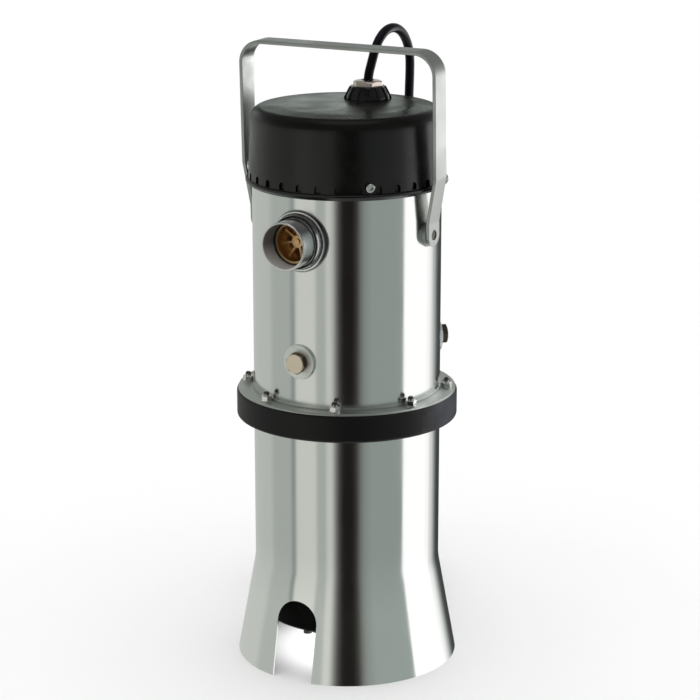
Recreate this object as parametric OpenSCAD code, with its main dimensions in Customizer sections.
// Submersible sump pump with a jacket-cooled motor, a side outlet and a carrying handle.
// Millimetres. Origin: centre of the skirt's bottom rim. +Z up, -Y towards the outlet,
// the handle turns about X, and the cord leaves the top at +Y.

/* [Body] */
// Outside diameter of the body tube
body_d = 190; // [180:1:200]
// Wall of the body tube and the skirt
wall = 2; // [1.5:0.5:3]
// Outside diameter of the skirt at the floor
skirt_d = 227; // [216:1:236]
// Height at which the flared foot meets the straight tube
flare_h = 102; // [92:1:112]
// Radius of the soft bend between the foot and the tube
flare_bend_r = 75; // [50:5:100]
// Height of the body tube's top edge
tube_top = 514; // [508:1:516]

/* [Inlet] */
// Width of the notch in the foot
notch_w = 45.5; // [36:0.5:48]
// Turn of the notch from the outlet's line
notch_turn = -1; // [-3:0.5:0]
// Height of the notch's apex above the floor
notch_h = 80.5; // [70:0.5:86]
// Outside diameter of the suction neck
neck_d = 104; // [96:1:106]
// Bore of the suction neck
neck_bore_d = 80; // [70:1:84]

/* [Flange joint] */
// Height of the flange joint's top face
flange_top = 285; // [280:1:290]
// Outside diameter of the upper flange
flange_d = 222; // [219:1:222]
// Outside diameter of the rubber ring
ring_d = 225; // [224:1:230]
// Height of the rubber ring
ring_h = 28; // [24:1:29]
// Pitch circle of the flange bolts
bolt_pcd = 204; // [202:1:206]
// Number of flange bolts
bolts = 8; // [6:1:12]

/* [Outlet] */
// Height of the outlet and of the handle's pivots
outlet_h = 452.4; // [446:0.2:460]
// Outside diameter of the outlet spigot, a G 1 1/2 pipe
spigot_d = 47.8; // [42:0.1:50]
// Wall of the outlet spigot
spigot_wall = 2; // [1.6:0.1:3]
// Distance from the body's axis to the spigot's mouth
spigot_reach = 126; // [118:1:132]

/* [Plugs] */
// Height of the two screw plugs
plug_h = 331; // [320:0.5:350]
// Width across flats of a screw plug
plug_af = 19; // [17:1:22]

/* [Handle] */
// Width of the handle's strap
strap_w = 22.5; // [20:0.5:26]
// Thickness of the handle's strap
strap_t = 3.5; // [3:0.5:4]
// Outside width of the handle
handle_w = 221; // [218:0.5:226]
// Height of the handle above its pivots
handle_h = 181.6; // [174:0.2:190]
// Forward lean of the handle where it rests
handle_lean = 2; // [0:1:10]
// Distance of the handle's pins in front of the body's axis
pin_forward = 7; // [0:1:10]

/* [Hood] */
// Height of the hood's flat top
hood_top = 573.5; // [566:0.5:580]
// Height of the hood's lower edge
hood_low = 494.5; // [492:0.5:498]
// Number of notches around the hood's lower edge
hood_notches = 31; // [24:1:36]

/* [Cord] */
// Diameter of the mains cord
cord_d = 9.5; // [8:0.5:10]
// Loops in the coil, laid in four layers
coil_loops = 12; // [10:1:13]

/* [Hidden] */
$fn = 96;
e = 0.01;

// Radii shared by several pieces
body_r = body_d / 2;
bore_r = body_r - wall;
flange_r = flange_d / 2;
ring_r = ring_d / 2;
bolt_r = bolt_pcd / 2;
ring_low = flange_top - 1.5 - ring_h;

// The flange joint, from the bottom: plate, gasket, casting, gasket, plate
plate_t = 5;
gasket_t = 1;
casting_t = 11;
upper_low = flange_top - plate_t;
casting_low = upper_low - gasket_t - casting_t;
lower_low = casting_low - gasket_t - plate_t;
flange_inner_r = flange_r - 1.5;

// M6 fasteners in the joint, M5 elsewhere
m6_r = 3;
m6_hole_r = 3.3;
m6_af = 10;
m6_nut_h = 5;
m6_washer_r = 5.5;
stud_above = 4;
m5_r = 2.5;
m5_hole_r = 2.75;
m5_af = 8;

// The motor, with its seals below and its head above
jacket_r = 77;
jacket_wall = 2;
jacket_in = jacket_r - jacket_wall;
jacket_low = 112;
head_low = 486;
head_t = 10;
rotor_r = 37;
air_gap = 1;
core_low = 240;
core_top = 340;
slots = 24;
shaft_core_r = 14;
shaft_low_r = 10;
shaft_top_r = 8.5;
shaft_end_r = 7;
shaft_top = 452;
lower_bearing_z = 142;
lower_bearing_w = 14;
lower_bearing_r = 23.5;
upper_bearing_z = 436;
upper_bearing_w = 12;
upper_bearing_r = 20;
run_gap = 0.05;

// The pump end
casing_low = 57;
casing_top = 100;
casing_seat = flare_h + 8;
casing_rim = casing_seat + 14;
cover_low = 45;
neck_low = 27;
impeller_r = 70;
impeller_low = 58;
impeller_h = 24;
blades = 6;
cover_screw_r = 82;
cover_screw_end = 68;

// The hood's outline
hood_r = 96.8;
hood_skirt_r = 98.8;
hood_lip_r = 101.5;
hood_lip_h = 6;
hood_shoulder_r = 68;
hood_shoulder_drop = 1.2;
notch_first = -89;
notch_r = 3.2;
notch_floor = 95.9;
hood_edge_r = 12;
hood_wall = 3.5;
screw_z = 507.5;
screw_angles = [-47.8, 68, 195.5];
screw_seat = 97.6;
screw_head_r = 4.25;

// The gland stands on the hood, behind its middle
gland_y = 43;
gland_r = 12.5;
collar_h = 13;
gland_nut_h = 5.5;

// The handle's strap, in a frame whose origin is the pivot
strap_end_x = 98.8;
strap_corner_r = 22;
pin_r = 5;

// The cord's route: out of the gland, over in an arch, down behind the body, out to the coil
cord_r = cord_d / 2;
cord_z = cord_r + 1;
lead_route = [
  [0, 43, 578.5], [0, 43, 584], [0, 43.8, 591.5], [0, 45.6, 598], [0, 48.1, 603],
  [0, 52.3, 610.4], [0, 57, 618.5], [0, 65.8, 628.8], [0, 78.3, 636], [0, 92.5, 638.5],
  [0, 106.7, 636], [0, 119.2, 628.8], [0, 128.4, 617.8], [0, 133.2, 604.5], [0, 133.8, 590],
  [0, 132.8, 572], [0, 131.6, 550], [0, 131, 520], [0, 131, 480], [0, 131, 430],
  [0, 131, 370], [0, 131, 310], [0, 131, 250], [0, 131, 190], [0, 131, 130], [0, 131, 85],
  [0, 131, 52], [-2, 136.5, 28], [-8.5, 151.5, 11.5], [-17.5, 171, 6]
];

// The coil lies behind the body. Each layer spirals in or out, one after the other,
// and the cord climbs to the next layer in the half turn between them.
coil_x = -92;
coil_y = 170;
coil_outer_r = 68.6;
coil_step = 10.2;
coil_rings = 24;
coil_layers = 4;
coil_climb = 180;
coil_from = 25;
coil_to = 50;
tie_t = 0.8;
tie_w = 16;
tie_angle = 215;

function unit(v) = v / norm(v);
function left(v) = [-v[1], v[0]];
function rot2(v, a) = [v[0] * cos(a) - v[1] * sin(a), v[0] * sin(a) + v[1] * cos(a)];

// ---------------------------------------------------------------- swept cords

// A point on the smooth curve through four points, at t from the second to the third
function smooth(p, i, t) =
  let (a = p[max(i - 1, 0)], b = p[i], c = p[i + 1], d = p[min(i + 2, len(p) - 1)])
  0.5 * (2 * b + (c - a) * t + (2 * a - 5 * b + 4 * c - d) * t * t
         + (3 * b - a - 3 * c + d) * t * t * t);

// Every route point and the curve's middle between two of them
function fine(p, n) = [
  for (i = [0 : len(p) - 2], k = [0 : n - 1]) smooth(p, i, k / n),
  p[len(p) - 1]
];

// The way along a list of points at each of them; an end's way may be given
function ways(p, first, last) = [
  for (i = [0 : len(p) - 1])
    i == 0 && first != undef ? first
    : i == len(p) - 1 && last != undef ? last
    : unit(p[min(i + 1, len(p) - 1)] - p[max(i - 1, 0)])
];

// A steady sideways direction at each point, turned as little as the curve allows
function sides(w, was, i = 0) =
  i == len(w) ? []
  : let (now = unit(was - w[i] * (was * w[i]))) concat([now], sides(w, now, i + 1));

module tube(p, r, n, side, first, last) {
  w = ways(p, first, last);
  s = sides(w, side);
  rings = len(p);
  pts = [
    for (i = [0 : rings - 1])
      let (u = s[i], v = cross(w[i], u))
      for (k = [0 : n - 1])
        p[i] + r * (u * cos(360 * k / n) + v * sin(360 * k / n))
  ];
  skin = [
    for (i = [0 : rings - 2], k = [0 : n - 1])
      let (a = i * n + k, b = i * n + (k + 1) % n)
      each [[a, a + n, b], [b, a + n, b + n]]
  ];
  caps = [
    for (k = [1 : n - 2]) each [[0, k, k + 1],
      [(rings - 1) * n, (rings - 1) * n + k + 1, (rings - 1) * n + k]]
  ];
  polyhedron(points = pts, faces = concat(skin, caps));
}

// Length along a list of points
function run(p, i = 0) = i >= len(p) - 1 ? 0 : norm(p[i + 1] - p[i]) + run(p, i + 1);
// The least distance between a list's points that are at least skip apart in the list
function least_gap(p, skip) =
  min([for (i = [0 : len(p) - 1 - skip], j = [i + skip : len(p) - 1]) norm(p[i] - p[j])]);

// The coil's centre line, at an angle of a from its start
coil_total = 360 * coil_loops + coil_to - coil_from;
layer_turn = (coil_total - (coil_layers - 1) * coil_climb) / coil_layers;
coil_inner_r = coil_outer_r - coil_step * layer_turn / 360;
climb_swell = coil_step * coil_climb / 360 / PI;
function coil_radius(a) =
  let (layer = floor(a / (layer_turn + coil_climb)), rest = a - layer * (layer_turn + coil_climb),
       inward = layer % 2 == 0, from_r = inward ? coil_outer_r : coil_inner_r,
       to_r = inward ? coil_inner_r : coil_outer_r, way = inward ? -1 : 1)
  rest < layer_turn ? from_r + (to_r - from_r) * rest / layer_turn
  : to_r + way * climb_swell * sin(180 * (rest - layer_turn) / coil_climb);
function coil_height(a) =
  let (layer = floor(a / (layer_turn + coil_climb)), rest = a - layer * (layer_turn + coil_climb),
       t = max(rest - layer_turn, 0) / coil_climb)
  cord_z + coil_step * (layer + 0.5 - 0.5 * cos(180 * t));
function coil_point(a) =
  [coil_x + coil_radius(a) * cos(coil_from + a),
   coil_y + coil_radius(a) * sin(coil_from + a), coil_height(a)];
coil_start_way = [-sin(coil_from), cos(coil_from), 0];
coil_end_way = [-sin(coil_to), cos(coil_to), 0];
coil_steps = round(coil_total / 360 * coil_rings);
coil_path = concat(
  [coil_point(0) - cord_d * coil_start_way],
  [for (i = [0 : coil_steps]) coil_point(coil_total * i / coil_steps)],
  [coil_point(coil_total) + cord_d * coil_end_way]
);

// The tail leaves the coil's upper layer and comes down to the plug on the floor
plug_axis_z = 20;
plug_way = coil_end_way;
tail_start = coil_path[len(coil_path) - 1];
tail_run = 64;
tail_path = [
  for (k = [0 : 6])
    let (t = k / 6)
    tail_start + plug_way * tail_run * t
      + [0, 0, (plug_axis_z - tail_start[2]) * (3 * t * t - 2 * t * t * t)]
];
plug_at = tail_start + plug_way * tail_run + [0, 0, plug_axis_z - tail_start[2]];
lead_path = concat(fine(lead_route, 2), [coil_path[0]]);

echo(cord_length = run(lead_path) + run(coil_path) + run(tail_path));
echo(coil_gap = least_gap(coil_path, 12) - cord_d);

// ---------------------------------------------------------------- skirt and flange joint

module ring(outer, inner, low, high) {
  difference() {
    translate([0, 0, low]) cylinder(r = outer, h = high - low);
    translate([0, 0, low - 1]) cylinder(r = inner, h = high - low + 2);
  }
}

module around(count, first = 0) {
  for (i = [0 : count - 1]) rotate(first + 360 * i / count) children();
}

module bolt_holes(low, high) {
  around(bolts, 180 / bolts)
    translate([bolt_r, 0, low - 1]) cylinder(r = m6_hole_r, h = high - low + 2);
}

module skirt() {
  foot_r = skirt_d / 2;
  top = lower_low + plate_t;
  flare = atan((foot_r - body_r) / flare_h);
  bend_z = flare_h + flare_bend_r * tan(flare / 2);
  function bent(k, r) = [
    body_r + flare_bend_r - r * cos(flare * k / 6), bend_z - r * sin(flare * k / 6)
  ];
  color("#c3c8c6") difference() {
    rotate_extrude() polygon(concat(
      [[foot_r, 0]], [for (k = [6 : -1 : 0]) bent(k, flare_bend_r)],
      [[body_r, top], [bore_r, top]], [for (k = [0 : 6]) bent(k, flare_bend_r + wall)],
      [[foot_r - wall / cos(flare), 0]]
    ));
    rotate(notch_turn) {
      translate([0, -foot_r - 5, notch_h - notch_w / 2]) rotate([-90, 0, 0])
        cylinder(r = notch_w / 2, h = foot_r - 30);
      translate([-notch_w / 2, -foot_r - 5, -1])
        cube([notch_w, foot_r - 30, notch_h - notch_w / 2 + 1]);
    }
  }
}

module lower_flange() {
  color("#b9bfbc") difference() {
    ring(flange_inner_r, body_r, lower_low, lower_low + plate_t);
    bolt_holes(lower_low, lower_low + plate_t);
  }
}

module bumper_ring() {
  lip_h = lower_low - ring_low;
  soft = 3;
  top = flange_top - 1.5;
  color("#17181b") rotate_extrude() difference() {
    union() {
      translate([flange_inner_r - 2, ring_low])
        square([ring_r - soft - flange_inner_r + 2, ring_h]);
      translate([ring_r - soft, ring_low + soft]) square([soft, ring_h - 2 * soft]);
      translate([ring_r - soft, ring_low + soft]) circle(r = soft);
      translate([ring_r - soft, top - soft]) circle(r = soft);
    }
    translate([flange_inner_r - 8, ring_low - 1]) square([6, ring_h + 2]);
    translate([flange_inner_r - 4, ring_low + lip_h]) square([4, ring_h]);
    translate([flange_inner_r - 4, upper_low]) square([flange_r - flange_inner_r + 4, ring_h]);
  }
}

module flange_gaskets() {
  color("#3a3f3c") for (low = [lower_low + plate_t, upper_low - gasket_t])
    difference() {
      ring(flange_inner_r - 1, body_r - 2, low, low + gasket_t);
      bolt_holes(low, low + gasket_t);
    }
}

// Casting that carries the motor jacket; the water passes up through its curved slots
module middle_plate() {
  slot_mid_r = (jacket_r + body_r - 1) / 2;
  slot_w = body_r - jacket_r - 9;
  color("#8f9493") difference() {
    ring(flange_inner_r, jacket_r, casting_low, casting_low + casting_t);
    bolt_holes(casting_low, casting_low + casting_t);
    around(bolts) {
      rotate(-16) translate([0, 0, casting_low - 1])
        rotate_extrude(angle = 32) translate([slot_mid_r - slot_w / 2, 0])
          square([slot_w, casting_t + 2]);
      for (side = [-16, 16]) rotate(side) translate([slot_mid_r, 0, casting_low - 1])
        cylinder(r = slot_w / 2, h = casting_t + 2);
    }
  }
}

module upper_flange() {
  neck = 1.2;
  edge = 1.2;
  color("#c3c8c6") difference() {
    rotate_extrude() union() {
      translate([body_r, upper_low]) square([flange_r - body_r - edge, plate_t]);
      translate([flange_r - edge - e, upper_low]) square([edge + e, plate_t - edge]);
      translate([flange_r - edge, flange_top - edge]) circle(r = edge, $fn = 32);
      translate([body_r, flange_top - e]) polygon([[0, 0], [neck, 0], [neck, 0.8], [0.8, 2], [0, 2]]);
    }
    bolt_holes(upper_low, flange_top);
  }
}

// The joint's bolts come up from below; their ends stand above the nuts
module flange_bolts() {
  head_h = 4;
  tip = 1.2;
  end_z = flange_top + 1 + m6_nut_h + stud_above;
  color("#9aa09e") around(bolts, 180 / bolts) translate([bolt_r, 0, 0]) {
    translate([0, 0, lower_low - head_h]) rotate(30)
      cylinder(r = m6_af / 2 / cos(30), h = head_h, $fn = 6);
    translate([0, 0, lower_low - e]) cylinder(r = m6_r, h = end_z - lower_low - tip + e);
    translate([0, 0, end_z - tip]) cylinder(r1 = m6_r, r2 = m6_r - tip, h = tip);
  }
}

// Hexagon nut with its top corners turned off
module hex_nut(af, h, hole_r) {
  difference() {
    intersection() {
      cylinder(r = af / 2 / cos(30), h = h, $fn = 6);
      union() {
        cylinder(r = af / 2 + 2, h = h - 0.12 * af + e);
        translate([0, 0, h - 0.12 * af])
          cylinder(r1 = af * 0.6, r2 = af * 0.48, h = 0.12 * af);
      }
    }
    translate([0, 0, -1]) cylinder(r = hole_r, h = h + 2);
  }
}

module flange_nuts() {
  color("#a4aaa8") around(bolts, 180 / bolts) translate([bolt_r, 0, flange_top + 1])
    rotate(15) hex_nut(m6_af, m6_nut_h, m6_r);
}

module flange_washers() {
  color("#b4bab8") around(bolts, 180 / bolts) translate([bolt_r, 0, flange_top])
    difference() {
      cylinder(r = m6_washer_r, h = 1);
      translate([0, 0, -1]) cylinder(r = m6_hole_r, h = 3);
    }
}

// ---------------------------------------------------------------- upper shell

// Turns a child that points along +Z so that it points away from the axis at an angle
module outward(angle, z, r = 0) {
  rotate([0, 0, angle]) translate([r, 0, z]) rotate([0, 90, 0]) children();
}

// Both places of the handle's pins, a child's +Z pointing outwards
module at_pins(r) {
  translate([0, -pin_forward, 0]) for (a = [0, 180]) outward(a, outlet_h, r) children();
}

plug_angles = [-90, 45];
pad_r = 17;
pad_face = 97.5;
plug_shank_r = 8;
collar_r = 30;

module upper_shell() {
  color("#c8cdcb") difference() {
    ring(body_r, bore_r, upper_low, tube_top);
    outward(-90, outlet_h, 70) cylinder(r = collar_r, h = 50);
    for (a = plug_angles) outward(a, plug_h, 70) cylinder(r = pad_r, h = 50);
    at_pins(70) cylinder(r = boss_r, h = 50);
    for (a = screw_angles) outward(a, screw_z, 70) cylinder(r = m5_hole_r, h = 50);
  }
}

// Bosses that carry the plugs' threads from the shell in to the motor jacket
module plug_bosses() {
  color("#c3c8c6") for (a = plug_angles) difference() {
    outward(a, plug_h, jacket_in + 1) cylinder(r = pad_r, h = pad_face - jacket_in - 1);
    translate([0, 0, plug_h - 30]) cylinder(r = jacket_r, h = 60);
    outward(a, plug_h, 60) cylinder(r = plug_shank_r, h = 60);
  }
}

module screw_plug(angle) {
  head_low = pad_face + 1.5;
  head_h = 6.7;
  chamfer = 1.1;
  color("#b7a888") outward(angle, plug_h) {
    translate([0, 0, head_low - 14]) cylinder(r = plug_shank_r, h = 14 + e);
    intersection() {
      translate([0, 0, head_low]) rotate(15) cylinder(r = plug_af / 2 / cos(30), h = head_h, $fn = 6);
      union() {
        translate([0, 0, head_low]) cylinder(r = plug_af, h = head_h - chamfer + e);
        translate([0, 0, head_low + head_h - chamfer])
          cylinder(r1 = plug_af / 2 + 1.4, r2 = plug_af / 2 - 0.5, h = chamfer);
      }
    }
  }
}

module oil_plug_front() { screw_plug(plug_angles[0]); }
module oil_plug_side() { screw_plug(plug_angles[1]); }

module plug_washers() {
  color("#6b5a3c") for (a = plug_angles) outward(a, plug_h, pad_face) difference() {
    cylinder(r = plug_af / 2 + 0.8, h = 1.5);
    translate([0, 0, -1]) cylinder(r = plug_shank_r, h = 4);
  }
}

// ---------------------------------------------------------------- outlet and its valve

collar_face = 105;
collar_step = 97.4;
collar_neck_r = 27;
collar_in = 88;
// The spigot is turned down by this much where it is welded into the collar
root_r = spigot_d / 2 - 0.7;

// Socket welded into the shell, with a groove between it and the spigot
module outlet_collar() {
  color("#bcc2bf") outward(-90, outlet_h) rotate_extrude() polygon([
    [root_r, collar_in], [collar_r, collar_in], [collar_r, collar_step - 1],
    [collar_r - 1, collar_step], [collar_neck_r, collar_step], [collar_neck_r, collar_face - 3],
    [collar_neck_r - 1, collar_face], [collar_neck_r - 1.6, collar_face],
    [spigot_d / 2 + 0.6, collar_face - 2], [root_r, collar_face - 2]
  ]);
}

module outlet_spigot() {
  out_r = spigot_d / 2;
  in_r = out_r - spigot_wall;
  color("#c8cdcb") outward(-90, outlet_h) rotate_extrude() polygon([
    [in_r - 1.6, collar_in], [root_r, collar_in], [root_r, collar_face + 0.2],
    [out_r, collar_face + 0.6], [out_r, spigot_reach - 0.8],
    [out_r - 0.6, spigot_reach], [in_r + 0.4, spigot_reach], [in_r, spigot_reach - 0.8],
    [in_r, 107], [in_r - 1.6, 107]
  ]);
}

valve_r = spigot_d / 2 - spigot_wall - 1.6;
valve_face = 106;
seat_in = 80;
disc_z = 83;
valve_travel = 5;
stem_r = 3;
hub_r = 6;

module valve_seat() {
  color("#a5854a") outward(-90, outlet_h) rotate_extrude() polygon([
    [15, seat_in], [valve_r, seat_in], [valve_r, disc_z + 1], [18.5, disc_z + 1],
    [15, disc_z - 1]
  ]);
}

// Brass cage: an outer ring, straight fins and the hub that guides the stem
module valve_cage() {
  fins = 8;
  fin_t = 2.2;
  back = disc_z + 2 + valve_travel + 0.5;
  color("#b8904c") outward(-90, outlet_h) {
    rotate_extrude() polygon([
      [valve_r, disc_z + 1], [valve_r, valve_face], [valve_r - 2.2, valve_face],
      [valve_r - 3.6, valve_face - 4], [valve_r - 3.6, back], [18.5, back],
      [18.5, disc_z + 1]
    ]);
    difference() {
      union() {
        translate([0, 0, back]) cylinder(r = hub_r, h = 8);
        around(fins, 11) translate([hub_r - 1, -fin_t / 2, back])
          cube([valve_r - hub_r - 1.6, fin_t, 5]);
      }
      translate([0, 0, back - 1]) cylinder(r = stem_r + run_gap, h = 10);
    }
  }
}

module valve_poppet() {
  color("#8a6a34") outward(-90, outlet_h) {
    rotate_extrude() polygon([
      [0, disc_z - 0.7], [15.2, disc_z - 0.7], [18, disc_z + 0.9], [18, disc_z + 1.4],
      [8, disc_z + 2], [0, disc_z + 2]
    ]);
    translate([0, 0, disc_z + 2 - e]) cylinder(r = stem_r, h = 15);
  }
}

// ---------------------------------------------------------------- handle and its pivots

boss_r = 11.5;
boss_face = 98.3;
pin_end = strap_end_x + strap_t - 1;

module pivot_bosses() {
  color("#c3c8c6") at_pins(90) difference() {
    cylinder(r = boss_r, h = boss_face - 90);
    translate([0, 0, -10]) cylinder(r = pin_r, h = 40);
  }
}

module pivot_pins() {
  color("#6f7674") at_pins(88) {
    cylinder(r = pin_r, h = pin_end - 88 - 0.6 + e);
    translate([0, 0, pin_end - 88 - 0.6]) cylinder(r1 = pin_r, r2 = pin_r - 0.6, h = 0.6);
  }
}

// Points of a bent strip's edge: a line through the corners, rounded, moved sideways
function bend(p, i, r, off) =
  let (d1 = unit(p[i] - p[i - 1]), d2 = unit(p[i + 1] - p[i]),
       turn = atan2(d1[0] * d2[1] - d1[1] * d2[0], d1 * d2), way = sign(turn),
       centre = p[i] - d1 * r * tan(abs(turn) / 2) + left(d1) * r * way,
       n = max(4, ceil(abs(turn) / 7.5)))
  [for (k = [0 : n])
     centre - rot2(left(d1), turn * k / n) * way * (r - way * off)];
function edge_of(p, radii, off) = concat(
  [p[0] + left(unit(p[1] - p[0])) * off],
  [for (i = [1 : len(p) - 2]) each bend(p, i, radii[i], off)],
  [p[len(p) - 1] + left(unit(p[len(p) - 1] - p[len(p) - 2])) * off]
);
function reversed(p) = [for (i = [len(p) - 1 : -1 : 0]) p[i]];

// The strap's centre line, from the right-hand end over the top to the left-hand end
strap_in_x = strap_end_x + strap_t / 2;
strap_out_x = handle_w / 2 - strap_t / 2;
strap_line = [
  [strap_in_x, -20], [strap_in_x, 13], [strap_out_x, 57], [strap_out_x, handle_h - strap_t / 2],
  [-strap_out_x, handle_h - strap_t / 2], [-strap_out_x, 57], [-strap_in_x, 13], [-strap_in_x, -20]
];
strap_radii = [0, 12, 12, strap_corner_r, strap_corner_r, 12, 12, 0];

module handle() {
  color("#c0c5c3") translate([0, -pin_forward, outlet_h]) rotate([handle_lean, 0, 0]) difference() {
    intersection() {
      rotate([90, 0, 0]) linear_extrude(height = strap_w, center = true)
        polygon(concat(edge_of(strap_line, strap_radii, strap_t / 2),
                       reversed(edge_of(strap_line, strap_radii, -strap_t / 2))));
      union() {
        translate([-handle_w, -strap_w, 0]) cube([2 * handle_w, 2 * strap_w, handle_h + 10]);
        rotate([0, 90, 0]) cylinder(r = strap_w / 2, h = 2 * handle_w, center = true);
      }
    }
    rotate([0, 90, 0]) cylinder(r = pin_r + run_gap, h = 2 * handle_w, center = true);
  }
}

// ---------------------------------------------------------------- hood and gland

module hood() {
  step = 360 / hood_notches;
  in_low_r = body_r + 0.3;
  ledge_z = tube_top + 1.5;
  arc_x = hood_r - 0.5 - hood_edge_r;
  edge_top = hood_top - hood_shoulder_drop;
  color("#1d1d1e") difference() {
    rotate_extrude() polygon(concat(
      [[in_low_r, hood_low], [hood_lip_r - 4.2, hood_low], [hood_lip_r - 0.6, hood_low + 3],
       [hood_lip_r, hood_low + 3.8],
       [hood_lip_r, hood_low + hood_lip_h - 0.5], [hood_lip_r - 0.5, hood_low + hood_lip_h],
       [hood_skirt_r, hood_low + hood_lip_h + 0.4], [hood_r - 0.5, edge_top - hood_edge_r]],
      [for (a = [10 : 10 : 80])
        [arc_x + hood_edge_r * cos(a), edge_top - hood_edge_r + hood_edge_r * sin(a)]],
      [[arc_x, edge_top], [hood_shoulder_r, hood_top], [0, hood_top], [0, hood_top - hood_wall],
       [hood_shoulder_r, hood_top - hood_wall], [arc_x, edge_top - hood_wall]],
      [for (a = [80 : -10 : 10])
        [arc_x + (hood_edge_r - hood_wall) * cos(a),
         edge_top - hood_edge_r + (hood_edge_r - hood_wall) * sin(a)]],
      [[hood_r - 0.5 - hood_wall, edge_top - hood_edge_r], [in_low_r, ledge_z + 6],
       [body_r - 4, ledge_z + 3], [body_r - 4, ledge_z], [in_low_r, ledge_z]]
    ));
    for (i = [0 : hood_notches - 1])
      outward(notch_first + step * i, hood_low + hood_lip_h, notch_floor) {
        translate([-5, 0, 0]) cylinder(r = notch_r, h = 9);
        translate([-5, -notch_r, 0]) cube([5 - 0.8, 2 * notch_r, 9]);
      }
    for (a = screw_angles) outward(a, screw_z) {
      translate([0, 0, 80]) cylinder(r = m5_hole_r, h = 30);
      translate([0, 0, screw_seat]) cylinder(r = screw_head_r + 0.6, h = 10);
    }
    translate([0, gland_y, hood_top - 10]) cylinder(r = gland_r, h = 20);
  }
}

module hood_gasket() {
  color("#2c2f2e") ring(body_r, body_r - 3.5, tube_top, tube_top + 1.5);
}

// Socket-head screws, M5, each on a spot face
module hood_screws() {
  head_h = 5;
  color("#b9bfbd") for (a = screw_angles) outward(a, screw_z) difference() {
    union() {
      translate([0, 0, 88]) cylinder(r = m5_r, h = screw_seat - 88 + e);
      translate([0, 0, screw_seat]) cylinder(r = screw_head_r, h = head_h - 0.4);
      translate([0, 0, screw_seat + head_h - 0.4 - e])
        cylinder(r1 = screw_head_r, r2 = screw_head_r - 0.4, h = 0.4);
    }
    translate([0, 0, screw_seat + head_h - 2.5]) cylinder(r = 2 / cos(30), h = 4, $fn = 6);
  }
}

module hood_weld_nuts() {
  color("#a4aaa8") for (a = screw_angles) difference() {
    outward(a, screw_z, 88.5) cylinder(r = m5_af / 2 / cos(30), h = 6, $fn = 6);
    difference() {
      translate([0, 0, screw_z - 20]) cylinder(r = 120, h = 40);
      translate([0, 0, screw_z - 21]) cylinder(r = bore_r, h = 42);
    }
    outward(a, screw_z, 80) cylinder(r = m5_r, h = 30);
  }
}

module gland_body() {
  color("#2a2a2c") translate([0, gland_y, 0])
    ring(gland_r, 8, hood_top - 16, hood_top + collar_h);
}

// Black ribbed ring that clamps the gland to the hood
module gland_collar() {
  ribs = 12;
  top = hood_top + collar_h;
  color("#151516") translate([0, gland_y, 0]) difference() {
    union() {
      rotate_extrude() polygon([
        [gland_r, hood_top], [22, hood_top], [22, hood_top + 2.5], [17, top - 1],
        [16.2, top], [gland_r, top]
      ]);
      intersection() {
        around(ribs) translate([14, -1.8, hood_top]) cube([12, 3.6, collar_h]);
        rotate_extrude() polygon([
          [12.6, hood_top], [24, hood_top], [24, hood_top + 1.5], [18.4, top - 0.6],
          [12.6, top - 0.6]
        ]);
      }
    }
    translate([0, 0, hood_top - 1]) cylinder(r = gland_r, h = collar_h + 2);
  }
}

module gland_nut() {
  low = hood_top + collar_h;
  af = 27;
  color("#b5a394") translate([0, gland_y, low]) difference() {
    intersection() {
      rotate(12) cylinder(r = af / 2 / cos(30), h = gland_nut_h, $fn = 6);
      rotate_extrude() polygon([
        [0, 0], [15.2, 0], [15.2, 3], [14.6, 3.9], [13.4, 4.6], [11.6, 5.1], [9, 5.5], [0, 5.5]
      ]);
    }
    translate([0, 0, -1]) cylinder(r = cord_r + 0.4, h = 12);
    translate([0, 0, 1.5]) cylinder(r1 = cord_r + 0.4, r2 = cord_r + 2.4, h = 4 + e);
  }
}

module gland_grommet() {
  color("#101011") translate([0, gland_y, 0])
    ring(8, cord_r - 0.1, hood_top - 4, hood_top + collar_h);
}

module gland_locknut() {
  color("#3b3d3e") translate([0, gland_y, hood_top - hood_wall - 5])
    difference() {
      cylinder(r = 18, h = 5, $fn = 6);
      translate([0, 0, -1]) cylinder(r = gland_r, h = 7);
    }
}

// ---------------------------------------------------------------- under the hood

module head_plate() {
  color("#8b8f8e") difference() {
    union() {
      translate([0, 0, head_low]) cylinder(r = bore_r, h = head_t);
      translate([0, 0, head_low - 8]) cylinder(r = jacket_in, h = 8 + e);
    }
    translate([0, 0, head_low - 9]) cylinder(r = jacket_in - 10, h = 9);
    translate([30, 30, head_low - 1]) cylinder(r = 8, h = head_t + 2);
  }
}

module terminal_block() {
  low = head_low + head_t;
  ways = 5;
  color("#d8d6cc") difference() {
    translate([-45, 20, low]) cube([60, 24, 22]);
    for (i = [0 : ways - 1]) translate([-39 + 12 * i, 32, low + 12]) {
      cylinder(r = 2.2, h = 20);
      translate([0, -20, -4]) rotate([-90, 0, 0]) cylinder(r = 2.5, h = 40);
    }
  }
}

module capacitor() {
  axis_z = head_low + head_t + 22.5;
  color("#b9bcc0") translate([-42, -34, axis_z]) rotate([0, 90, 0]) {
    cylinder(r = 22, h = 82);
    translate([0, 0, 82 - e]) cylinder(r1 = 21, r2 = 18, h = 3);
  }
  color("#5a5d60") for (x = [-22, 18]) difference() {
    translate([x, -58, head_low + head_t]) cube([10, 48, 24]);
    translate([x - 1, -34, axis_z]) rotate([0, 90, 0]) cylinder(r = 22, h = 12);
  }
}

// ---------------------------------------------------------------- motor

module motor_jacket() {
  color("#b4bab8") difference() {
    ring(jacket_r, jacket_in, jacket_low, head_low);
    for (a = plug_angles) outward(a, plug_h, 60) cylinder(r = plug_shank_r, h = 30);
  }
}

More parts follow.
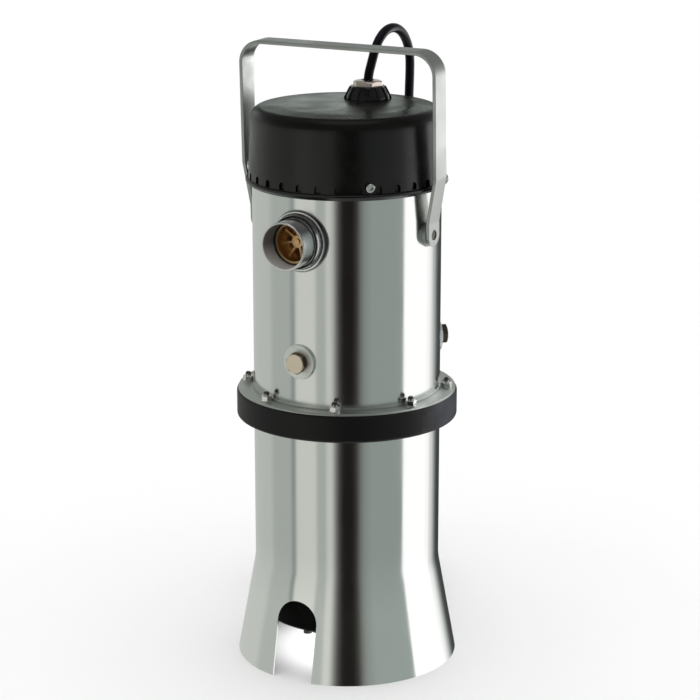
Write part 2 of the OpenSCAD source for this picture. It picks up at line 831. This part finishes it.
module bearing_bracket() {
  low = upper_bearing_z - 6;
  top = upper_bearing_z + upper_bearing_w + 6;
  color("#969b9b") difference() {
    union() {
      translate([0, 0, upper_bearing_z]) cylinder(r = jacket_in, h = upper_bearing_w);
      translate([0, 0, low]) cylinder(r = upper_bearing_r + 8, h = top - low);
    }
    translate([0, 0, low - 1]) cylinder(r = upper_bearing_r, h = upper_bearing_w + 7);
    translate([0, 0, low - 1]) cylinder(r = upper_bearing_r - 6, h = top - low - 1);
    around(6) translate([50, 0, low]) cylinder(r = 12, h = 40);
  }
}

module stator_core() {
  color("#74797c") difference() {
    ring(jacket_in, rotor_r + air_gap, core_low, core_top);
    around(slots) {
      translate([rotor_r + air_gap + 3, -2.6, core_low - 1]) cube([20, 5.2, core_top - core_low + 2]);
      translate([rotor_r + air_gap - 1, -1, core_low - 1]) cube([5, 2, core_top - core_low + 2]);
    }
  }
}

module stator_windings() {
  inner = rotor_r + 6;
  outer = rotor_r + 27;
  over = 24;
  color("#a85f2c") {
    around(slots) translate([rotor_r + air_gap + 3.5, -2.2, core_low - e])
      cube([19, 4.4, core_top - core_low + 2 * e]);
    for (low = [core_low - over, core_top]) rotate_extrude()
      translate([(inner + outer) / 2, low + over / 2]) difference() {
        square([outer - inner, over], center = true);
        for (x = [-1, 1], y = [-1, 1])
          translate([x * (outer - inner) / 2, y * over / 2]) rotate(45)
            square(7, center = true);
      }
  }
}

module rotor_core() {
  color("#8d9295") ring(rotor_r, shaft_core_r, core_low, core_top);
  color("#c9cccd") for (low = [core_low - 10, core_top])
    ring(rotor_r - 2, rotor_r - 14, low, low + 10);
}

module shaft() {
  color("#b3b8ba") rotate_extrude() polygon([
    [0, impeller_low - 8], [shaft_end_r - 1, impeller_low - 8], [shaft_end_r, impeller_low - 7],
    [shaft_end_r, casing_top - 6], [shaft_low_r, casing_top - 6],
    [shaft_low_r, lower_bearing_z + lower_bearing_w], [shaft_low_r + 3, lower_bearing_z + lower_bearing_w],
    [shaft_low_r + 3, core_low - 20], [shaft_core_r, core_low - 20], [shaft_core_r, core_top + 20],
    [shaft_top_r + 3, core_top + 20], [shaft_top_r + 3, upper_bearing_z],
    [shaft_top_r, upper_bearing_z], [shaft_top_r, shaft_top - 1], [shaft_top_r - 1, shaft_top],
    [0, shaft_top]
  ]);
}

// Ball bearing: the fixed half is the outer race with its balls, the other the inner race
module bearing_outer(outer, bore, low, w, balls) {
  mid = (outer + bore) / 2;
  ball = (outer - bore) * 0.26;
  color("#9aa0a4") {
    difference() {
      ring(outer, mid + ball * 0.55, low, low + w);
      rotate_extrude() translate([mid, low + w / 2]) circle(r = ball + 0.02, $fn = 48);
    }
    around(balls) translate([mid, 0, low + w / 2]) sphere(r = ball, $fn = 48);
  }
}

module bearing_inner(outer, bore, low, w) {
  mid = (outer + bore) / 2;
  ball = (outer - bore) * 0.26;
  color("#aab0b3") difference() {
    ring(mid - ball * 0.55, bore, low, low + w);
    rotate_extrude() translate([mid, low + w / 2]) circle(r = ball + 0.05, $fn = 48);
  }
}

module upper_bearing_outer() {
  bearing_outer(upper_bearing_r, shaft_top_r, upper_bearing_z, upper_bearing_w, 8);
}
module upper_bearing_inner() {
  bearing_inner(upper_bearing_r, shaft_top_r, upper_bearing_z, upper_bearing_w);
}
module lower_bearing_outer() {
  bearing_outer(lower_bearing_r, shaft_low_r, lower_bearing_z, lower_bearing_w, 9);
}
module lower_bearing_inner() {
  bearing_inner(lower_bearing_r, shaft_low_r, lower_bearing_z, lower_bearing_w);
}

// Plate over the oil chamber, with the lower bearing's seat
module bearing_plate() {
  low = lower_bearing_z - 6;
  top = lower_bearing_z + lower_bearing_w;
  color("#8b8f8e") difference() {
    union() {
      translate([0, 0, low]) cylinder(r = jacket_in, h = 8);
      translate([0, 0, low]) cylinder(r = lower_bearing_r + 8, h = top - low);
    }
    translate([0, 0, lower_bearing_z]) cylinder(r = lower_bearing_r, h = 20);
    translate([0, 0, low - 1]) cylinder(r = shaft_low_r + 4, h = 20);
  }
}

// Cup that holds the oil and the shaft seals
module oil_housing() {
  floor_t = 8;
  color("#7f8483") difference() {
    union() {
      translate([0, 0, casing_top]) cylinder(r = 80, h = jacket_low - casing_top);
      translate([0, 0, casing_top]) cylinder(r = jacket_in, h = lower_bearing_z - 6 - casing_top);
    }
    translate([0, 0, casing_top + floor_t]) cylinder(r = 62, h = 60);
    translate([0, 0, casing_top - 1]) cylinder(r = 17, h = 30);
  }
}

module seal_fixed() {
  color("#d9d9d2") ring(17, shaft_low_r + 0.4, casing_top, casing_top + 8);
}

// Rotating half of the shaft seal: its ring, spring case and collar on the shaft
module seal_rotating() {
  low = casing_top + 8.1;
  color("#5e6468") rotate_extrude() polygon([
    [shaft_low_r, low + 3], [shaft_low_r + 1, low + 3], [shaft_low_r + 1, low],
    [15, low], [15, low + 5], [17.5, low + 5], [17.5, low + 20], [shaft_low_r, low + 20]
  ]);
}

// ---------------------------------------------------------------- pump end

// Bowl around the impeller: it turns the flow up through ports into the jacket
module pump_casing() {
  wheel_top = impeller_low + impeller_h + 2;
  color("#1b1c1e") difference() {
    union() {
      translate([0, 0, casing_low]) cylinder(r = 88, h = casing_top - casing_low);
      translate([0, 0, casing_seat - 14]) cylinder(r1 = 88, r2 = bore_r - 0.1, h = 14 + e);
      translate([0, 0, casing_seat]) cylinder(r = bore_r - 0.1, h = casing_rim - casing_seat);
    }
    difference() {
      translate([0, 0, casing_low - 1]) cylinder(r = 84, h = wheel_top + 1 - casing_low);
      around(6, 30) translate([cover_screw_r, 0, casing_low]) cylinder(r = 5.5, h = 40);
    }
    around(6, 30) translate([cover_screw_r, 0, casing_low - 1])
      cylinder(r = m5_r, h = cover_screw_end + 2 - casing_low);
    translate([0, 0, casing_low]) cylinder(r = shaft_low_r + 4, h = 60);
    translate([0, 0, casing_top]) cylinder(r = 88, h = casing_rim);
    translate([0, 0, casing_seat + 4]) ring(bore_r + 1, bore_r - 3, 0, 4);
    around(6, -20) translate([0, 0, wheel_top - 4])
      rotate_extrude(angle = 40) translate([81, 0]) square([6, 40]);
  }
}

module casing_oring() {
  color("#0e0e0f") rotate_extrude() translate([bore_r - 1.5, casing_seat + 6]) circle(r = 1.5, $fn = 24);
}

// Bottom cover with the suction neck; its mouth is opened out to a smooth lip
module suction_cover() {
  neck_r = neck_d / 2;
  mouth_r = neck_bore_d / 2;
  color("#151618") difference() {
    rotate_extrude() polygon([
      [mouth_r, casing_low], [88, casing_low], [88, cover_low + 2], [86, cover_low],
      [neck_r + 1, cover_low], [neck_r - 2, cover_low - 3], [neck_r - 2, neck_low + 8],
      [neck_r, neck_low + 6.5], [neck_r, neck_low + 2],
      [neck_r - 2, neck_low], [mouth_r + 6, neck_low], [mouth_r + 4.5, neck_low + 1.2],
      [mouth_r + 2, neck_low + 4], [mouth_r, neck_low + 9]
    ]);
    around(6, 30) translate([cover_screw_r, 0, cover_low - 1]) cylinder(r = m5_hole_r, h = 20);
  }
}

module cover_screws() {
  color("#a4aaa8") around(6, 30) translate([cover_screw_r, 0, cover_low]) difference() {
    union() {
      translate([0, 0, -3.5]) cylinder(r = screw_head_r, h = 3.5);
      translate([0, 0, -e]) cylinder(r = m5_r, h = cover_screw_end - cover_low + e);
    }
    translate([0, 0, -4]) cylinder(r = 2 / cos(30), h = 2.8, $fn = 6);
  }
}

// Backswept blade: a strip between two arcs, thin at both ends
module blade(r_in, r_out, sweep, t, h) {
  n = 12;
  function mid(k) = let (r = r_in + (r_out - r_in) * k / n, a = -sweep * k / n) [r * cos(a), r * sin(a)];
  function thick(k) = t * (0.45 + 0.55 * sin(180 * k / n)) / 2;
  function across(k) = left(unit(mid(min(k + 1, n)) - mid(max(k - 1, 0))));
  linear_extrude(height = h) polygon(concat(
    [for (k = [0 : n]) mid(k) + across(k) * thick(k)],
    [for (k = [n : -1 : 0]) mid(k) - across(k) * thick(k)]
  ));
}

module impeller() {
  plate = 4;
  color("#6d7175") difference() {
    union() {
      translate([0, 0, impeller_low + impeller_h - plate]) cylinder(r = impeller_r, h = plate);
      translate([0, 0, impeller_low]) cylinder(r1 = 12, r2 = 22, h = impeller_h - plate + e);
      translate([0, 0, impeller_low + impeller_h - e]) cylinder(r = 13, h = 12);
      translate([0, 0, impeller_low]) around(blades)
        blade(16, impeller_r - 0.5, 75, 5, impeller_h - plate + e);
    }
    translate([0, 0, impeller_low - 1]) cylinder(r = shaft_end_r, h = 60);
  }
}

module impeller_nut() {
  color("#a4aaa8") translate([0, 0, impeller_low - 7]) difference() {
    union() {
      cylinder(r = 19 / 2 / cos(30), h = 7, $fn = 6);
      translate([0, 0, -4]) cylinder(r1 = 6.5, r2 = 9, h = 4 + e);
    }
    translate([0, 0, -1]) cylinder(r = shaft_end_r, h = 20);
  }
}

// ---------------------------------------------------------------- cord and plug

module cord_lead() {
  color("#16161a") tube(lead_path, cord_r, 12, [1, 0, 0], [0, 0, 1], coil_start_way);
}

module cord_coil() {
  color("#16161a") tube(coil_path, cord_r, 6, [0, 0, 1], coil_start_way, coil_end_way);
}

module cord_tail() {
  color("#16161a") tube(tail_path, cord_r, 12, [0, 0, 1], coil_end_way, plug_way);
}

// Band that holds the coil's loops together
module cord_tie() {
  low = cord_z - cord_r - tie_t;
  high = cord_z + (coil_layers - 1) * coil_step + cord_r + 0.3;
  near = coil_inner_r - climb_swell - cord_r - 0.8;
  far = coil_outer_r + climb_swell + cord_r + 0.8;
  color("#2b2b30") translate([coil_x, coil_y, 0]) rotate(tie_angle) difference() {
    translate([near - tie_t, -tie_w / 2, low])
      cube([far - near + 2 * tie_t, tie_w, high - low + tie_t]);
    translate([near, -tie_w, low + tie_t]) cube([far - near, 2 * tie_w, high - low - tie_t]);
  }
}

// Puts the plug's own frame, which points along +Z from the cord's end, in its place
module at_plug() {
  translate(plug_at) rotate([0, 90, atan2(plug_way[1], plug_way[0])]) children();
}

module plug_body() {
  face = 62;
  body = 19.5;
  color("#141416") at_plug() difference() {
    rotate_extrude() polygon([
      [0, 0], [6.5, 0], [7.5, 2], [7.5, 16], [9, 20], [13, 25], [15.5, 32], [15.5, 40],
      [17, 44], [body, 46], [body, face - 1], [body - 1, face], [0, face]
    ]);
    for (side = [-1, 1]) translate([side * 20, 0, 45]) translate([-3, -4, 0]) cube([6, 8, 20]);
    translate([0, -9, face - 8]) cylinder(r = 2.6, h = 9);
  }
}

module plug_pins() {
  face = 62;
  color("#c9cbc6") at_plug() {
    for (side = [-1, 1]) translate([0, side * 9.5, face]) {
      cylinder(r = 2.4, h = 17.5);
      translate([0, 0, 17.5 - e]) cylinder(r1 = 2.4, r2 = 1.2, h = 1.5);
    }
  }
}

skirt();
lower_flange();
bumper_ring();
flange_gaskets();
middle_plate();
upper_flange();
upper_shell();
flange_bolts();
flange_nuts();
flange_washers();
plug_bosses();
oil_plug_front();
oil_plug_side();
plug_washers();
outlet_collar();
outlet_spigot();
valve_seat();
valve_cage();
valve_poppet();
pivot_bosses();
pivot_pins();
handle();
hood();
hood_gasket();
hood_screws();
hood_weld_nuts();
gland_body();
gland_collar();
gland_nut();
gland_grommet();
gland_locknut();
head_plate();
terminal_block();
capacitor();
motor_jacket();
bearing_bracket();
stator_core();
stator_windings();
rotor_core();
shaft();
upper_bearing_outer();
upper_bearing_inner();
lower_bearing_outer();
lower_bearing_inner();
bearing_plate();
oil_housing();
seal_rotating();
seal_fixed();
pump_casing();
casing_oring();
suction_cover();
cover_screws();
impeller();
impeller_nut();
cord_lead();
cord_coil();
cord_tie();
cord_tail();
plug_body();
plug_pins();
